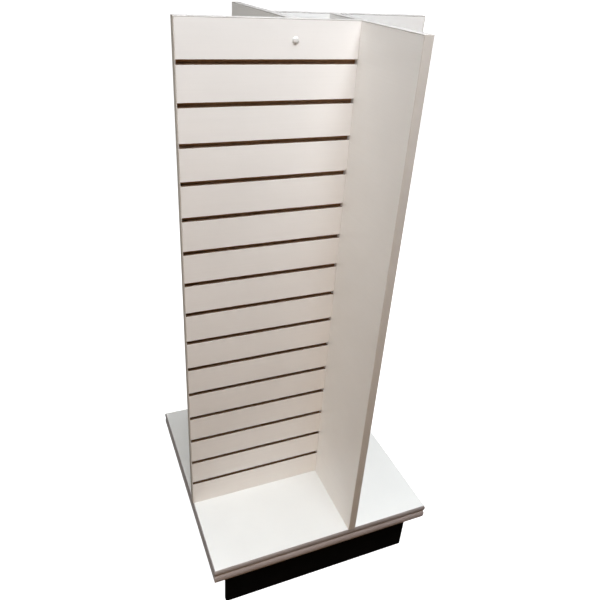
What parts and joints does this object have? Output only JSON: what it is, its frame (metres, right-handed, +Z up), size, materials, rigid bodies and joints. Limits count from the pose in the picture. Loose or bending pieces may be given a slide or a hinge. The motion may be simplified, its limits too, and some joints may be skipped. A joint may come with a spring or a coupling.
{
  "type": "slatwall merchandiser",
  "caption": "Free-standing slatwall merchandiser: grooved white panels set in a pinwheel on a square white deck, over a recessed black kick with hidden levelling glides.",
  "frame": {"origin": "centre of the base, on the floor", "axes": "+Z up; +X to the right along the front panel; +Y to the rear; the front panel's grooves face -Y"},
  "size_m": [0.6096, 0.6096, 1.397],
  "materials": {
    "laminate_white": "semi-gloss white melamine, faint pebble",
    "board_brown": "raw medium-density fibreboard, routed",
    "panel_edging": "satin warm grey edge strip",
    "deck_board": "particle board",
    "deck_edging": "satin grey-brown crowned edging",
    "kick_black": "matt black melamine on board",
    "hardwood": "planed beech",
    "steel": "zinc plated",
    "cap_white": "moulded, glossy",
    "glide_black": "moulded nylon"
  },
  "bodies": {
    "merchandiser": {"block_deck_screws": "steel", "cap_washers": "cap_white", "corner_block_back_left": "hardwood", "corner_block_back_right": "hardwood", "corner_block_front_left": "hardwood", "corner_block_front_right": "hardwood", "deck_board_screws": "steel", "deck_lower_board": "deck_board", "deck_lower_edging_back": "deck_edging", "deck_lower_edging_front": "deck_edging", "deck_lower_edging_left": "deck_edging", "deck_lower_edging_right": "deck_edging", "deck_top_skin": "laminate_white", "deck_upper_board": "deck_board", "deck_upper_edging_back": "deck_edging", "deck_upper_edging_front": "deck_edging", "deck_upper_edging_left": "deck_edging", "deck_upper_edging_right": "deck_edging", "joint_screws": "steel", "kick_back": "kick_black", "kick_block_screws": "steel", "kick_front": "kick_black", "kick_left": "kick_black", "kick_right": "kick_black", "leveller_nuts": "steel", "panel_back_back_skin": "laminate_white", "panel_back_board": "board_brown", "panel_back_end_band": "panel_edging", "panel_back_face_skin": "laminate_white", "panel_back_top_band": "panel_edging", "panel_base_screws": "steel", "panel_dowels": "hardwood", "panel_front_back_skin": "laminate_white", "panel_front_board": "board_brown", "panel_front_end_band": "panel_edging", "panel_front_face_skin": "laminate_white", "panel_front_top_band": "panel_edging", "panel_left_back_skin": "laminate_white", "panel_left_board": "board_brown", "panel_left_end_band": "panel_edging", "panel_left_face_skin": "laminate_white", "panel_left_top_band": "panel_edging", "panel_right_back_skin": "laminate_white", "panel_right_board": "board_brown", "panel_right_end_band": "panel_edging", "panel_right_face_skin": "laminate_white", "panel_right_top_band": "panel_edging", "screw_caps": "cap_white"},
    "glide_pad_front_left": {"leveller_pad_front_left": "glide_black"},
    "glide_stud_front_left": {"leveller_stud_front_left": "steel"},
    "glide_pad_front_right": {"leveller_pad_front_right": "glide_black"},
    "glide_stud_front_right": {"leveller_stud_front_right": "steel"},
    "glide_pad_back_right": {"leveller_pad_back_right": "glide_black"},
    "glide_stud_back_right": {"leveller_stud_back_right": "steel"},
    "glide_pad_back_left": {"leveller_pad_back_left": "glide_black"},
    "glide_stud_back_left": {"leveller_stud_back_left": "steel"}
  },
  "joints": [
    {"name": "glide_height_front_left", "type": "slide", "parent": "merchandiser", "child": "glide_pad_front_left", "axis": [0, 0, -1], "range_m": [0, 0.012]},
    {"name": "glide_turn_front_left", "type": "hinge", "parent": "glide_pad_front_left", "child": "glide_stud_front_left", "pos_m": [-0.2159, -0.24447, 0.012], "axis": [0, 0, -1], "range_deg": [0, 3457]},
    {"name": "glide_height_front_right", "type": "slide", "parent": "merchandiser", "child": "glide_pad_front_right", "axis": [0, 0, -1], "range_m": [0, 0.012]},
    {"name": "glide_turn_front_right", "type": "hinge", "parent": "glide_pad_front_right", "child": "glide_stud_front_right", "pos_m": [0.2159, -0.24447, 0.012], "axis": [0, 0, -1], "range_deg": [0, 3457]},
    {"name": "glide_height_back_right", "type": "slide", "parent": "merchandiser", "child": "glide_pad_back_right", "axis": [0, 0, -1], "range_m": [0, 0.012]},
    {"name": "glide_turn_back_right", "type": "hinge", "parent": "glide_pad_back_right", "child": "glide_stud_back_right", "pos_m": [0.2159, 0.24447, 0.012], "axis": [0, 0, -1], "range_deg": [0, 3457]},
    {"name": "glide_height_back_left", "type": "slide", "parent": "merchandiser", "child": "glide_pad_back_left", "axis": [0, 0, -1], "range_m": [0, 0.012]},
    {"name": "glide_turn_back_left", "type": "hinge", "parent": "glide_pad_back_left", "child": "glide_stud_back_left", "pos_m": [-0.2159, 0.24447, 0.012], "axis": [0, 0, -1], "range_deg": [0, 3457]}
  ],
  "couplings": [
    {"joint": "glide_turn_front_left", "follows": "glide_height_front_left", "rad_per_m": 5026.5},
    {"joint": "glide_turn_front_right", "follows": "glide_height_front_right", "rad_per_m": 5026.5},
    {"joint": "glide_turn_back_right", "follows": "glide_height_back_right", "rad_per_m": 5026.5},
    {"joint": "glide_turn_back_left", "follows": "glide_height_back_left", "rad_per_m": 5026.5}
  ]
}
